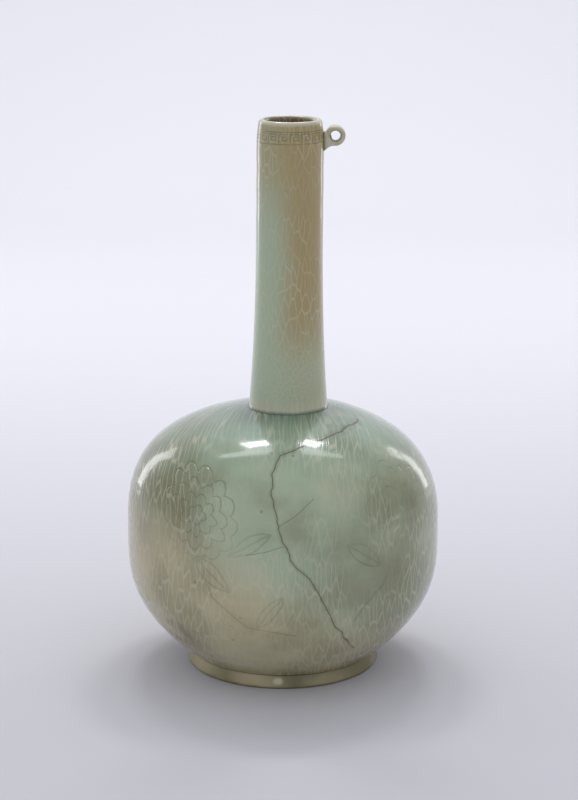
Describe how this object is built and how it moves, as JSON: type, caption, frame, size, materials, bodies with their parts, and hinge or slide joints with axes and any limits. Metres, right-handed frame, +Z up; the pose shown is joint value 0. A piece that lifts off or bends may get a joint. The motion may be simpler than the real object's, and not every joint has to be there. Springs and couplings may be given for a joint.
{
  "type": "ceramic bottle",
  "caption": "Long-necked round-bodied glazed ceramic bottle on a ring foot, with a small clay cord loop beside the mouth.",
  "frame": {"origin": "middle of the round body on the plane the foot ring stands on", "axes": "+Z up the neck to the mouth, +X towards the clay loop beside the mouth"},
  "size_m": [0.1962, 0.1962, 0.345],
  "materials": {
    "celadon_glaze": "glossy",
    "neck_glaze": "glossy",
    "lug_glaze": "satin",
    "foot_glaze": "satin",
    "slip_clay": "matte"
  },
  "bodies": {
    "root": {"foot_ring": "foot_glaze", "foot_lute": "slip_clay", "body_lower": "celadon_glaze", "belly_lute": "slip_clay", "body_upper": "celadon_glaze", "neck_lute": "slip_clay", "neck": "neck_glaze", "cord_lug": "lug_glaze"}
  },
  "joints": []
}
